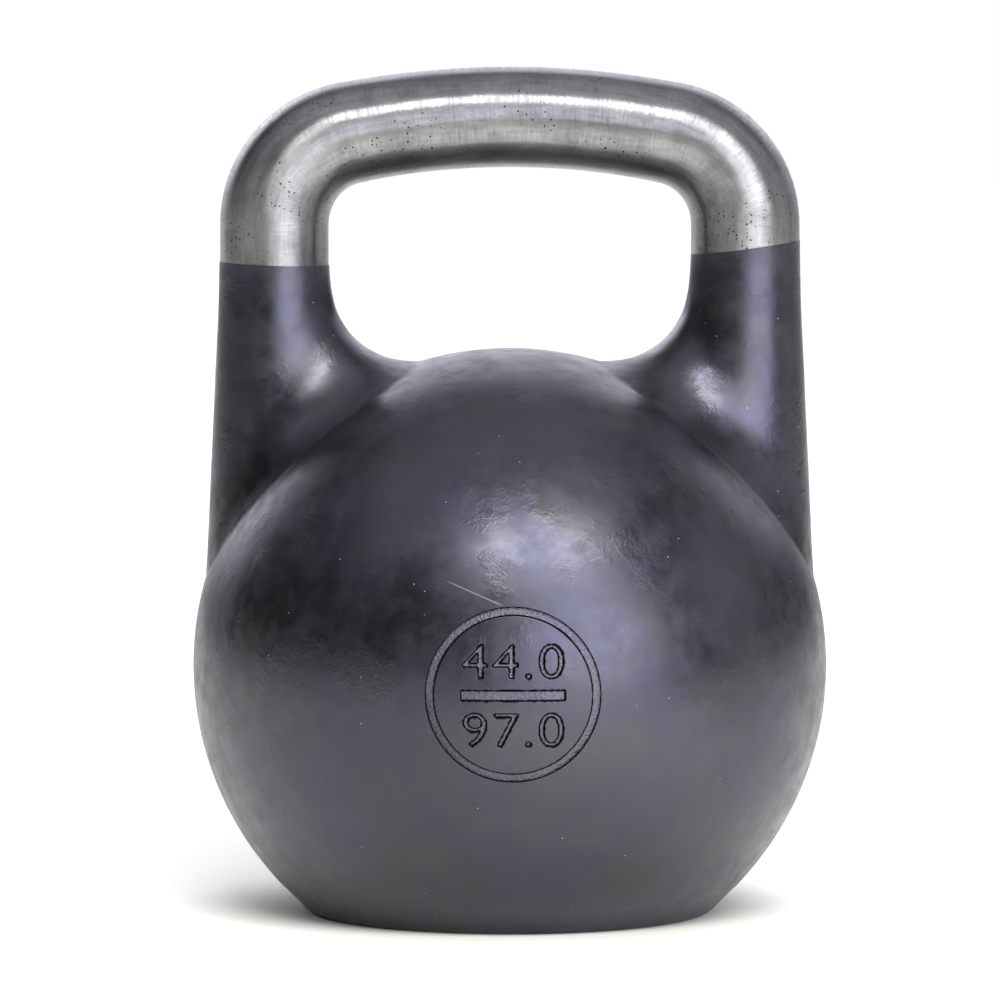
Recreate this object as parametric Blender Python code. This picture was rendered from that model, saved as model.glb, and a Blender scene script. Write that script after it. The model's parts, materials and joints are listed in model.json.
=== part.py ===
# Competition kettlebell of 44 kg: a painted cast steel ball with two horns, a bare steel handle
# on the horns, and a sealed core that brings the standard shell up to its weight.
# Frame: +Z up, +X towards the right horn, -Y towards the weight mark. The origin is the centre
# of the foot ring, on the floor. Lengths are in metres.
import math

import bmesh
import bpy
from mathutils import Vector

# Ball and foot
BALL_RADIUS = 0.105
FOOT_CUT = 0.0232
FOOT_FLARE = 0.0027
FOOT_FLARE_HEIGHT = 0.009
FOOT_EDGE = 0.002
FOOT_RING_WIDTH = 0.0165
RECESS_DEPTH = 0.0025
BALL_SIDES = 64
BALL_RINGS = 30

# Handle: a round bar on an arch, two corners and two posts
OVERALL_HEIGHT = 0.280
POST_SPACING = 0.1557
ARCH_RADIUS = 0.270
CORNER_RADIUS = 0.031
GRIP_RADIUS = 0.0166
POST_RADIUS = 0.018
BAR_SIDES = 28

# Paint lines: how far below the top each crosses its post's axis, and its slope towards +X
LEFT_LINE_DROP = 0.0650
LEFT_LINE_SLOPE = -0.03
RIGHT_LINE_DROP = 0.0595
RIGHT_LINE_SLOPE = 0.13

# Horns: how fast each side spreads on the way down, and the fillet that meets the ball
SPREAD_DROP = 0.054
SPREAD_EASE = 0.020
SHOULDER_RISE = 0.0293
INNER_SPREAD = 0.100
DEPTH_SPREAD = 0.085
INNER_FILLET = 0.026
FRONT_FILLET = 0.028
OUTER_FILLET = 0.040
FILLET_STEPS = 6
COLUMN_STEPS = 4
FOOT_SINK = 0.0006

# Core: a round cavity above a neck, closed by a threaded plug
CAVITY_RADIUS = 0.057
NECK_RADIUS = 0.021
NECK_LENGTH = 0.0095
SEAT_WIDTH = 0.005
THREAD_LENGTH = 0.012
THREAD_PITCH = 0.003
THREAD_DEPTH = 0.0016
THREAD_SIDES = 24
RELIEF_CUT = 0.0005
RELIEF_HEIGHT = 0.004
PLUG_FACE_Z = 0.0035
SEAL_THICKNESS = 0.0017
SEAL_WIDTH = 0.0035
SEAL_OVERHANG = 0.0012
BOSS_CLEARANCE = 0.0025
BOSS_HEIGHT = 0.0015
SOCKET_FLATS = 0.017
SOCKET_DEPTH = 0.008
PACKING_THICKNESS = 0.0027
SHOT_THICKNESS = 0.0095
LOCK_RADIUS = 0.003
LOCK_LENGTH = 0.009
LOCK_SOCKET_FLATS = 0.003
LOCK_SOCKET_DEPTH = 0.003

# Weight mark, engraved on the front of the ball
MARK_RING_RADIUS = 0.0279
MARK_LINE = 0.0031
MARK_DEPTH = 0.0008
MARK_BAR_LENGTH = 0.0354
MARK_BAR_HEIGHT = 0.0036
NUMERAL_HEIGHT = 0.0116
NUMERAL_WIDTH = 0.0086
NUMERAL_SPACE = 0.0026
NUMERAL_GAP = 0.0052
NUMERAL_STROKE = 0.0018

GAP = 0.0003
OVERCUT = 0.004

PAINT = ((0.035, 0.034, 0.042), 0.38, 0.0)
STEEL = ((0.56, 0.56, 0.55), 0.30, 1.0)
LEAD = ((0.16, 0.17, 0.19), 0.60, 1.0)
SHOT_RESIN = ((0.12, 0.12, 0.12), 0.50, 0.0)
FELT = ((0.30, 0.28, 0.25), 0.95, 0.0)
RUBBER = ((0.02, 0.02, 0.02), 0.70, 0.0)
ZINC = ((0.45, 0.46, 0.48), 0.40, 1.0)

post_x = POST_SPACING / 2
arch_top_z = OVERALL_HEIGHT - GRIP_RADIUS
arch_centre_z = arch_top_z - ARCH_RADIUS
# The corner touches the post's line and lies inside the arch's circle.
corner_reach = math.sqrt((ARCH_RADIUS - CORNER_RADIUS) ** 2 - (post_x - CORNER_RADIUS) ** 2)
corner_z = arch_centre_z + corner_reach
ball_centre_z = BALL_RADIUS - FOOT_CUT
ball_centre = Vector((0, 0, ball_centre_z))
foot_radius = math.sqrt(BALL_RADIUS**2 - ball_centre_z**2) + FOOT_FLARE
left_line_z = OVERALL_HEIGHT - LEFT_LINE_DROP
right_line_z = OVERALL_HEIGHT - RIGHT_LINE_DROP
spread_start_z = OVERALL_HEIGHT - SPREAD_DROP
thread_radius = NECK_RADIUS + SEAT_WIDTH
relief_radius = thread_radius + RELIEF_CUT
boss_radius = NECK_RADIUS - BOSS_CLEARANCE
seat_z = PLUG_FACE_Z + THREAD_LENGTH + RELIEF_HEIGHT
# The cavity stands on its neck.
cavity_centre_z = seat_z + NECK_LENGTH + math.sqrt(CAVITY_RADIUS**2 - NECK_RADIUS**2)


def clear_scene():
    for old in list(bpy.data.objects):
        bpy.data.objects.remove(old)


def material(name, finish):
    colour, roughness, metallic = finish
    made = bpy.data.materials.new(name)
    made.use_nodes = True
    surface = made.node_tree.nodes["Principled BSDF"]
    surface.inputs["Base Color"].default_value = (*colour, 1)
    surface.inputs["Roughness"].default_value = roughness
    surface.inputs["Metallic"].default_value = metallic
    return made


def add_object(name, shape, finish=None):
    """The bmesh as an object: a part with its material, or a hidden cutter if it has none."""
    bmesh.ops.recalc_face_normals(shape, faces=shape.faces)
    mesh = bpy.data.meshes.new(name)
    shape.to_mesh(mesh)
    shape.free()
    made = bpy.data.objects.new(name, mesh)
    bpy.context.scene.collection.objects.link(made)
    if finish:
        mesh.materials.append(finish)
        mesh.shade_smooth()
        mesh.set_sharp_from_angle(angle=math.radians(30))
    else:
        made.hide_render = True
        made.display_type = "WIRE"
    return made


def combine(target, other, operation):
    """A live Boolean modifier on the target."""
    modifier = target.modifiers.new(f"{operation.lower()} {other.name}", "BOOLEAN")
    modifier.operation = operation
    modifier.solver = "EXACT"
    modifier.object = other


def loft(rows, closed=False):
    """A solid through rings of equal length, capped at both ends or closed on itself."""
    shape = bmesh.new()
    rings = [[shape.verts.new(point) for point in row] for row in rows]
    count = len(rows[0])
    followers = rings[1:] + rings[:1] if closed else rings[1:]
    for below, above in zip(rings, followers):
        for i in range(count):
            j = (i + 1) % count
            shape.faces.new((below[i], below[j], above[j], above[i]))
    if not closed:
        shape.faces.new(rings[0])
        shape.faces.new(reversed(rings[-1]))
    return shape


def turned(profile, sides):
    """A solid turned about Z from points (radius, z) that start and end on the axis."""
    shape = bmesh.new()
    points = [shape.verts.new((radius, 0, z)) for radius, z in profile]
    edges = [shape.edges.new(pair) for pair in zip(points, points[1:])]
    bmesh.ops.spin(
        shape, geom=points + edges, axis=(0, 0, 1), cent=(0, 0, 0), steps=sides, angle=math.tau
    )
    bmesh.ops.remove_doubles(shape, verts=shape.verts, dist=1e-6)
    return shape


def prism(outline, low_z, high_z):
    """An upright solid on a flat outline of (x, y) points."""
    return loft([[(x, y, z) for x, y in outline] for z in (low_z, high_z)])


def round_outline(radius, sides, centre=(0, 0)):
    steps = [math.tau * i / sides for i in range(sides)]
    return [(centre[0] + radius * math.cos(a), centre[1] + radius * math.sin(a)) for a in steps]


def hexagon(flats, centre=(0, 0)):
    return round_outline(flats / math.sqrt(3), 6, centre)


def arc(centre, radius, start, end, steps):
    """Points on an arc in a plane, from one angle to the other in degrees."""
    found = []
    for i in range(steps + 1):
        angle = math.radians(start + (end - start) * i / steps)
        found.append((centre[0] + radius * math.cos(angle), centre[1] + radius * math.sin(angle)))
    return found


def eased(distance):
    """Distance past a start, run in over an easing length, so that a taper begins without a kink."""
    if distance <= 0:
        return 0.0
    if distance < SPREAD_EASE:
        return distance * distance / (2 * SPREAD_EASE)
    return distance - SPREAD_EASE / 2


def outer_spread():
    """The slope that brings a horn's outer line onto the ball at the shoulder."""
    shoulder_x = math.sqrt(BALL_RADIUS**2 - SHOULDER_RISE**2)
    run = eased(spread_start_z - ball_centre_z - SHOULDER_RISE)
    return (shoulder_x - post_x - POST_RADIUS) / run


def column_section(z):
    """A horn's section at height z: centre x, half width along X, half depth along Y."""
    run = eased(spread_start_z - z)
    outer = post_x + POST_RADIUS + outer_spread() * run
    inner = post_x - POST_RADIUS - INNER_SPREAD * run
    return (outer + inner) / 2, (outer - inner) / 2, POST_RADIUS + DEPTH_SPREAD * run


def column_point(z, turn):
    """A point on the right horn's wall and its outward direction. Turn 0 faces the hand window."""
    centre_x, half_width, half_depth = column_section(z)
    across, along = -math.cos(turn), -math.sin(turn)
    point = Vector((centre_x + half_width * across, half_depth * along, z))
    level = Vector((across / half_width, along / half_depth, 0)).normalized()
    rise = 0.0005
    above = column_section(z + rise)
    higher = Vector((above[0] + above[1] * across, above[2] * along, z + rise))
    slope = (higher - point).normalized()
    return point, (level - slope * level.dot(slope)).normalized()


def fillet_radius(turn):
    """The fillet's radius round the horn: inner, front or back, and outer values joined smoothly."""
    inward = (1 + math.cos(turn)) / 2
    sideways = math.sin(turn) ** 2
    ends = INNER_FILLET * inward + OUTER_FILLET * (1 - inward)
    return ends * (1 - sideways) + FRONT_FILLET * sideways


def fillet_start(turn):
    """The height where a ball rolled down the horn's wall comes to rest on the kettlebell's ball."""
    radius = fillet_radius(turn)
    low, high = ball_centre_z, corner_z
    for _ in range(40):
        middle = (low + high) / 2
        point, outward = column_point(middle, turn)
        reach = (point + outward * radius - ball_centre).length
        if reach < BALL_RADIUS + radius:
            low = middle
        else:
            high = middle
    return high


def horn_line(turn, top_z):
    """One line down the right horn's side: the wall, the fillet, and a tail sunk into the ball."""
    radius = fillet_radius(turn)
    start_z = fillet_start(turn)
    line = []
    for i in range(COLUMN_STEPS + 1):
        z = top_z + (start_z - top_z) * i / COLUMN_STEPS
        line.append(column_point(z, turn)[0])
    wall, outward = column_point(start_z, turn)
    pivot = wall + outward * radius
    to_wall = wall - pivot
    to_ball = (ball_centre - pivot).normalized() * radius
    angle = to_wall.angle(to_ball)
    for i in range(1, FILLET_STEPS + 1):
        share = i / FILLET_STEPS
        arm = (
            to_wall * math.sin((1 - share) * angle) + to_ball * math.sin(share * angle)
        ) / math.sin(angle)
        line.append(pivot + arm)
    line[-1] = line[-1] + to_ball.normalized() * FOOT_SINK
    line.append(ball_centre + (line[-1] - ball_centre) * 0.9)
    return line


def horn_solid(side):
    """The right horn (side 1) or its mirror image (side -1), tall enough for its paint line's cut."""
    top_z = spread_start_z + 0.004
    turns = [math.tau * i / BAR_SIDES for i in range(BAR_SIDES)]
    lines = [horn_line(turn, top_z) for turn in turns]
    rows = [[(side * line[k].x, line[k].y, line[k].z) for line in lines] for k in range(len(lines[0]))]
    return loft(rows)


def bar_path():
    """The handle's centre line from the left post's foot to the right post's, as (x, z, angle)."""
    foot_z = min(left_line_z, right_line_z) - POST_RADIUS / 2
    right = [(post_x, foot_z, 0.0), (post_x, (foot_z + corner_z) / 2, 0.0)]
    arch_half = math.degrees(math.asin((post_x - CORNER_RADIUS) / (ARCH_RADIUS - CORNER_RADIUS)))
    for x, z in arc((post_x - CORNER_RADIUS, corner_z), CORNER_RADIUS, 0, 90 - arch_half, 8):
        right.append((x, z, math.atan2(z - corner_z, x - post_x + CORNER_RADIUS)))
    for x, z in arc((0, arch_centre_z), ARCH_RADIUS, 90 - arch_half, 90, 6)[1:]:
        right.append((x, z, math.atan2(z - arch_centre_z, x)))
    left = [(-x, z, math.pi - angle) for x, z, angle in right[:-1]]
    return left + right[::-1]


def bar_row(x, z, angle):
    """A ring of the bar, square to its centre line, whose outward side points along angle."""
    share = min(1.0, max(0.0, abs(x) / post_x))
    radius = GRIP_RADIUS + (POST_RADIUS - GRIP_RADIUS) * share**4
    row = []
    for i in range(BAR_SIDES):
        turn = math.tau * i / BAR_SIDES
        out = radius * math.cos(turn)
        row.append((x + out * math.cos(angle), radius * math.sin(turn), z + out * math.sin(angle)))
    return row


def paint_line(side):
    """A point on the paint line's plane and its upward normal."""
    height, slope = {
        -1: (left_line_z, LEFT_LINE_SLOPE),
        1: (right_line_z, RIGHT_LINE_SLOPE),
    }[side]
    return Vector((side * post_x, 0, height)), Vector((-slope, 0, 1)).normalized()


def cut_flat(shape, point, normal):
    """Takes away what lies beyond a plane, on the side of its normal, and caps the cut."""
    bmesh.ops.bisect_plane(
        shape,
        geom=shape.verts[:] + shape.edges[:] + shape.faces[:],
        plane_co=point,
        plane_no=normal,
        clear_outer=True,
    )
    fill_rims(shape)


def fill_rims(shape):
    """Caps every open rim with one flat face."""
    rims = [edge for edge in shape.edges if edge.is_boundary]
    bmesh.ops.holes_fill(shape, edges=rims, sides=0)


def ball_profile():
    """The ball's outline with its flared foot, from the foot's centre to the top."""
    edge_centre = (foot_radius - FOOT_EDGE, FOOT_EDGE)
    recess_radius = foot_radius - FOOT_EDGE - FOOT_RING_WIDTH
    profile = [(0, RECESS_DEPTH), (recess_radius - 0.001, RECESS_DEPTH), (recess_radius, 0)]
    profile += arc(edge_centre, FOOT_EDGE, -90, 0, 2)
    first = math.degrees(math.asin((FOOT_FLARE_HEIGHT - ball_centre_z) / BALL_RADIUS))
    profile += arc((0, ball_centre_z), BALL_RADIUS, first, 90, BALL_RINGS)[:-1]
    return profile + [(0, ball_centre_z + BALL_RADIUS)]


def cavity_wall(clearance, low_z, high_z):
    """The cavity's outline between two heights, drawn in by a clearance, with the same corners."""
    start = -math.degrees(math.acos(NECK_RADIUS / CAVITY_RADIUS))
    radius = CAVITY_RADIUS - clearance
    wall = arc((0, cavity_centre_z), radius, start, 90, 14)
    wall[-1] = (0, cavity_centre_z + radius)
    kept = []
    for (radius_a, z_a), (radius_b, z_b) in zip(wall, wall[1:]):
        for cut_z in (low_z, high_z):
            if z_a < cut_z < z_b:
                share = (cut_z - z_a) / (z_b - z_a)
                kept.append((radius_a + (radius_b - radius_a) * share, cut_z))
        if low_z <= z_b <= high_z:
            kept.append((radius_b, z_b))
    if low_z <= wall[0][1] <= high_z:
        kept.insert(0, wall[0])
    return kept


def helix_cylinder(radius, low_z, high_z):
    """A cylinder with a helical V thread of the given outer radius. Its ends run out to the root."""
    first = math.floor((low_z - seat_z) / THREAD_PITCH * 2) - 4
    last = math.ceil((high_z - seat_z) / THREAD_PITCH * 2) + 4
    shape = bmesh.new()
    rows = []
    for k in range(first, last + 1):
        row = []
        for i in range(THREAD_SIDES):
            z = seat_z + (k / 2 + i / THREAD_SIDES) * THREAD_PITCH
            here = radius - THREAD_DEPTH * (k % 2)
            if not low_z < z < high_z:
                z = min(max(z, low_z), high_z)
                here = radius - THREAD_DEPTH
            turn = math.tau * i / THREAD_SIDES
            row.append(shape.verts.new((here * math.cos(turn), here * math.sin(turn), z)))
        rows.append(row)
    for k in range(len(rows) - 3):
        for i in range(THREAD_SIDES - 1):
            shape.faces.new((rows[k][i], rows[k][i + 1], rows[k + 1][i + 1], rows[k + 1][i]))
        # One turn of the helix climbs by two rows.
        shape.faces.new((rows[k][-1], rows[k + 2][0], rows[k + 3][0], rows[k + 1][-1]))
    bmesh.ops.remove_doubles(shape, verts=shape.verts, dist=2e-5)
    loose = [vert for vert in shape.verts if not vert.link_faces]
    bmesh.ops.delete(shape, geom=loose, context="VERTS")
    fill_rims(shape)
    return shape


def engraver(name, points, width, depth, closed=False):
    """A cutter for a groove along (x, z) points, whose floor lies a depth under the ball."""
    rows = []
    for i, point in enumerate(points):
        if closed:
            before, after = points[i - 1], points[(i + 1) % len(points)]
        else:
            before, after = points[max(0, i - 1)], points[min(len(points) - 1, i + 1)]
        run = (Vector(after) - Vector(before)).normalized() * width / 2
        sides = [(point[0] - run.y, point[1] + run.x), (point[0] + run.y, point[1] - run.x)]
        row = []
        for (x, z), lift in zip(sides + sides[::-1], (0, 0, OVERCUT, OVERCUT)):
            sunk = math.sqrt((BALL_RADIUS - depth) ** 2 - x * x - z * z)
            row.append((x, -sunk - lift, ball_centre_z + z))
        rows.append(row)
    return add_object(name, loft(rows, closed))


def finely(points, step):
    """The same line with extra points, so that no run is longer than a step."""
    found = [points[0]]
    for before, after in zip(points, points[1:]):
        count = max(1, math.ceil(math.dist(before, after) / step))
        for i in range(1, count + 1):
            found.append(tuple(a + (b - a) * i / count for a, b in zip(before, after)))
    return found


def numeral_strokes(sign):
    """The strokes of a sign in a box 1 wide and 1 high, with whether each closes on itself."""
    if sign == "4":
        return [
            ([(0.75, 0), (0.75, 1)], False),
            ([(0.72, 0.97), (0.03, 0.37)], False),
            ([(-0.02, 0.27), (1, 0.27)], False),
        ]
    if sign == "7":
        return [([(0, 0.92), (1, 0.92)], False), ([(0.91, 0.88), (0.55, 0.48), (0.38, 0)], False)]
    if sign == "9":
        tail = [(0.92, 0.66), (0.88, 0.40), (0.68, 0.14), (0.35, 0.04)]
        return [(oval(0.5, 0.68, 0.42, 0.26), True), (tail, False)]
    if sign == "0":
        return [(oval(0.5, 0.5, 0.42, 0.43), True)]
    return [([(0, 0.09), (0.22, 0.09)], False)]


def oval(x, z, half_width, half_height):
    turns = [math.tau * i / 14 for i in range(14)]
    return [(x + half_width * math.cos(a), z + half_height * math.sin(a)) for a in turns]


def mark_cutters():
    """The weight mark: a ring, a bar, and one number on each side of the bar."""
    ring = arc((0, 0), MARK_RING_RADIUS, 0, 352.5, 47)
    cutters = [engraver("mark ring", ring, MARK_LINE, MARK_DEPTH, closed=True)]
    half = MARK_BAR_LENGTH / 2
    bar = finely([(-half, 0), (half, 0)], NUMERAL_HEIGHT / 3)
    cutters.append(engraver("mark bar", bar, MARK_BAR_HEIGHT, MARK_DEPTH))
    for text, base in (("44.0", NUMERAL_GAP), ("97.0", -NUMERAL_GAP - NUMERAL_HEIGHT)):
        widths = [NUMERAL_WIDTH * (0.22 if sign == "." else 1) for sign in text]
        left = -(sum(widths) + NUMERAL_SPACE * (len(text) - 1)) / 2
        for place, sign in enumerate(text):
            for number, (line, closed) in enumerate(numeral_strokes(sign)):
                points = [(left + x * NUMERAL_WIDTH, base + z * NUMERAL_HEIGHT) for x, z in line]
                if not closed:
                    points = finely(points, NUMERAL_HEIGHT / 3)
                name = f"numeral {text} {place} {number}"
                # Strokes that cross differ in depth, so that no two floors coincide.
                depth = MARK_DEPTH * (1 + 0.12 * number)
                cutters.append(engraver(name, points, NUMERAL_STROKE, depth, closed))
            left += widths[place] + NUMERAL_SPACE
    return cutters


def build_casting(finish):
    casting = add_object("bell_casting", turned(ball_profile(), BALL_SIDES), finish)
    for side, name in ((-1, "left horn"), (1, "right horn")):
        horn = horn_solid(side)
        point, normal = paint_line(side)
        cut_flat(horn, point - normal * GAP, normal)
        combine(casting, add_object(name, horn), "UNION")
    relief = [(relief_radius, seat_z), (NECK_RADIUS, seat_z)]
    low = [(0, seat_z - RELIEF_HEIGHT), (relief_radius, seat_z - RELIEF_HEIGHT)]
    cavity = add_object("cavity", turned(low + relief + cavity_wall(0, seat_z, OVERALL_HEIGHT), 40))
    combine(casting, cavity, "DIFFERENCE")
    thread = helix_cylinder(thread_radius, -OVERCUT, seat_z - RELIEF_HEIGHT / 2)
    combine(casting, add_object("foot thread", thread), "DIFFERENCE")
    for side in (-1, 1):
        combine(casting, lock_seat(side, "foot"), "DIFFERENCE")
    for cutter in mark_cutters():
        combine(casting, cutter, "DIFFERENCE")
    return casting


def lock_seat(side, host):
    """The drilled seat of one lock screw, half in the plug and half in the foot."""
    outline = round_outline(LOCK_RADIUS, 16, (side * thread_radius, 0))
    top_z = PLUG_FACE_Z + LOCK_LENGTH + GAP
    return add_object(f"{host} lock seat {side}", prism(outline, -OVERCUT, top_z))


def build_handle(finish):
    shape = loft([bar_row(*place) for place in bar_path()])
    for side in (-1, 1):
        point, normal = paint_line(side)
        cut_flat(shape, point, -normal)
    return add_object("handle", shape, finish)


def build_plug(finish):
    top_z = seat_z - SEAL_THICKNESS - 2 * GAP
    shank_z = seat_z - RELIEF_HEIGHT
    thread = helix_cylinder(thread_radius - GAP, PLUG_FACE_Z, shank_z)
    plug = add_object("base_plug", thread, finish)
    root = thread_radius - GAP - THREAD_DEPTH
    boss_z = seat_z + BOSS_HEIGHT
    shank = [(0, shank_z - 0.001), (root - 0.0002, shank_z - 0.001), (root - 0.0002, top_z)]
    boss = [(boss_radius, top_z), (boss_radius, boss_z), (0, boss_z)]
    combine(plug, add_object("plug boss", turned(shank + boss, 40)), "UNION")
    socket = prism(hexagon(SOCKET_FLATS), -OVERCUT, PLUG_FACE_Z + SOCKET_DEPTH)
    combine(plug, add_object("key socket", socket), "DIFFERENCE")
    for side in (-1, 1):
        combine(plug, lock_seat(side, "plug"), "DIFFERENCE")
    return plug


def build_lock_screw(side, name, finish):
    centre = (side * thread_radius, 0)
    shape = prism(round_outline(LOCK_RADIUS - GAP, 16, centre), PLUG_FACE_Z, PLUG_FACE_Z + LOCK_LENGTH)
    screw = add_object(name, shape, finish)
    flats = hexagon(LOCK_SOCKET_FLATS, centre)
    socket = prism(flats, -OVERCUT, PLUG_FACE_Z + LOCK_SOCKET_DEPTH)
    combine(screw, add_object(f"{name} socket", socket), "DIFFERENCE")
    return screw


def build_core(lead, shot, felt, rubber):
    inside = NECK_RADIUS - GAP
    packing_z = seat_z + BOSS_HEIGHT + GAP
    shot_z = packing_z + PACKING_THICKNESS + GAP
    core_z = shot_z + SHOT_THICKNESS + GAP
    packing = prism(round_outline(inside, 40), packing_z, shot_z - GAP)
    add_object("packing_pad", packing, felt)
    shot_top = core_z - GAP
    shot_profile = [(0, shot_z), (inside, shot_z)]
    shot_profile += cavity_wall(GAP, shot_z, shot_top) + [(0, shot_top)]
    add_object("calibration_shot", turned(shot_profile, 40), shot)
    core_wall = cavity_wall(GAP, core_z, OVERALL_HEIGHT)
    add_object("ballast_core", turned([(0, core_z)] + core_wall, 40), lead)
    seal_low = seat_z - GAP - SEAL_THICKNESS
    inner = NECK_RADIUS - SEAL_OVERHANG
    outer = inner + SEAL_WIDTH
    square = [(inner, seal_low), (outer, seal_low), (outer, seat_z - GAP), (inner, seat_z - GAP)]
    turns = [math.tau * i / 40 for i in range(40)]
    rows = [[(r * math.cos(a), r * math.sin(a), z) for r, z in square] for a in turns]
    add_object("plug_seal", loft(rows, closed=True), rubber)


clear_scene()
paint = material("charcoal paint on cast steel", PAINT)
steel = material("ground bare steel", STEEL)
zinc = material("zinc plated steel", ZINC)
build_casting(paint)
build_handle(steel)
build_core(
    material("poured lead", LEAD),
    material("resin bonded shot", SHOT_RESIN),
    material("pressed felt", FELT),
    material("black rubber", RUBBER),
)
build_plug(zinc)
for lock_side, lock_name in ((-1, "lock_screw_left"), (1, "lock_screw_right")):
    build_lock_screw(lock_side, lock_name, zinc)
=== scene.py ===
# Competition kettlebell: a painted casting with a ground bare steel grip and an engraved weight mark.
import json
import math

import bpy
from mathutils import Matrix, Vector

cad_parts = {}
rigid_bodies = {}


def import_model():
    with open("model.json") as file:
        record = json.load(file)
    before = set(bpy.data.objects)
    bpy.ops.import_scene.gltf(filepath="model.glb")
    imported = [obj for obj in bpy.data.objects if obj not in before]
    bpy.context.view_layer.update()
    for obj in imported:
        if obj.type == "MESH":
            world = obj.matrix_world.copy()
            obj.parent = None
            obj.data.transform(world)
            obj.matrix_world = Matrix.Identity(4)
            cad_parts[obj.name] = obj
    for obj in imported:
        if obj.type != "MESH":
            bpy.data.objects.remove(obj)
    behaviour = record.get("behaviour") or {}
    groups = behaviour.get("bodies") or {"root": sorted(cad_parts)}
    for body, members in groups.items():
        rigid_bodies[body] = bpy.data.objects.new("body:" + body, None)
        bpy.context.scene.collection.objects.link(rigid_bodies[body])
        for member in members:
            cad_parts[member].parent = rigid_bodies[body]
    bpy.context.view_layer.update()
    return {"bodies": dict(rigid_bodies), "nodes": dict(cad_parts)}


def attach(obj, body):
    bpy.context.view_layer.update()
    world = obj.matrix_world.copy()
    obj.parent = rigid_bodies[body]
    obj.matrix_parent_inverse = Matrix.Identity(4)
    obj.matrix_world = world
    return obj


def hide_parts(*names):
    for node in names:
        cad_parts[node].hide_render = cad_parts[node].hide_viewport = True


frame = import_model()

rootBody = list(frame["bodies"])[0]
nodes = frame["nodes"]
millimetre = 0.001
blend = {"data_type": "RGBA"}    # a Mix node for colours
smooth = {"interpolation_type": "SMOOTHSTEP"}    # a Map Range node with soft ends


def paintChip(code):    # an sRGB hex colour as linear values
    parts = [int(code[i : i + 2], 16) / 255 for i in (1, 3, 5)]
    return [c / 12.92 if c <= 0.04045 else ((c + 0.055) / 1.055) ** 2.4 for c in parts] + [1.0]


def scaleOf(size):    # a texture's scale for a feature of this many millimetres
    return 1 / (size * millimetre)


def addNode(tree, kind, settings=None, inputs=None):
    # inputs: a socket's name or number, with a value or another node's output to link
    node = tree.nodes.new(kind)
    for name, value in (settings or {}).items():
        setattr(node, name, value)
    for name, value in (inputs or {}).items():
        if isinstance(value, bpy.types.NodeSocket):
            tree.links.new(value, node.inputs[name])
        else:
            node.inputs[name].default_value = value
    return node


def newMaterial(name):
    made = bpy.data.materials.new(name)
    made.use_nodes = True
    made.node_tree.nodes.clear()
    return made, made.node_tree


def selectOnly(*things):
    if bpy.context.object and bpy.context.object.mode == "EDIT":
        bpy.ops.object.mode_set(mode="OBJECT")
    bpy.ops.object.select_all(action="DESELECT")
    for thing in things:
        thing.select_set(True)
    bpy.context.view_layer.objects.active = things[0]


def nameNew(name):    # names what was just added and puts its place and turn into its mesh
    made = bpy.context.object
    made.name = name
    made.data.name = name
    selectOnly(made)
    bpy.ops.object.transform_apply(location=True, rotation=True, scale=True)
    return made


def applyModifier(piece, kind, **settings):
    selectOnly(piece)
    modifier = piece.modifiers.new(kind.title(), kind)
    for name, value in settings.items():
        setattr(modifier, name, value)
    bpy.ops.object.modifier_apply(modifier=modifier.name)


def carve(piece, tool, operation="DIFFERENCE", solver="MANIFOLD"):
    applyModifier(piece, "BOOLEAN", operation=operation, solver=solver, object=tool)
    bpy.data.objects.remove(tool)


def copyOf(source, name):
    made = source.copy()
    made.data = source.data.copy()
    made.name = name
    made.parent = None
    bpy.context.scene.collection.objects.link(made)
    return made


def pickFaces(piece, test):    # leaves the piece in edit mode with those faces selected
    selectOnly(piece)
    bpy.ops.object.mode_set(mode="EDIT")
    bpy.ops.mesh.select_mode(type="FACE")
    bpy.ops.mesh.select_all(action="DESELECT")
    bpy.ops.object.mode_set(mode="OBJECT")
    for face in piece.data.polygons:
        face.select = test(face)
    bpy.ops.object.mode_set(mode="EDIT")


def removeFaces(piece, test):
    pickFaces(piece, test)
    bpy.ops.mesh.delete(type="FACE")


print("stage: frame loaded")

# the ball and its flat foot, the same sizes as in the frame
ball = {"radius": 0.105, "footCut": 0.0232}
ballCentre = Vector((0, 0, ball["radius"] - ball["footCut"]))

mark = {
    "centreX": 0.95 * millimetre,
    "radius": 28.3 * millimetre,
    "ringWidth": 2.9 * millimetre,
    "depth": 1.0 * millimetre,
    "barLength": 33.8 * millimetre,
    "barHeight": 3.6 * millimetre,
    "lines": (("44.0", 5.4 * millimetre), ("97.0", -16.6 * millimetre)),    # each with its base line
    "numeralHeight": 11.7 * millimetre,
    "numeralStretch": 1.14,
    "numeralSpacing": 1.08,
    "fontHeight": 0.73,    # of a numeral, as a share of the font's size
    "cutterY": -0.1,    # the cutters' places and lengths: they only have to pass through the face
    "cutterDepth": 30.0 * millimetre,
    "textY": -0.09,
    "textDepth": 20.0 * millimetre,
    "frontY": -0.1045,
    "seatLength": 12.0 * millimetre,
    "faceLength": 16.0 * millimetre,
    "floorLength": 14.0 * millimetre,
    "backY": -0.0985,    # the dish is open behind this, inside its seat
    "fit": 0.04 * millimetre,
    "voxel": 0.28 * millimetre,
    "smoothing": 5,
    "snapBand": 0.16 * millimetre,    # what is this close to the ball's surface is put onto it
    # a groove's wall found by this lean gets the nearly black painted shade
    "wallTilt": 0.975,    # a face that leans further from the ball's surface is a groove's wall
    "floorBelow": 0.3 * millimetre,    # and one that lies deeper than this is a groove's floor
}


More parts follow.
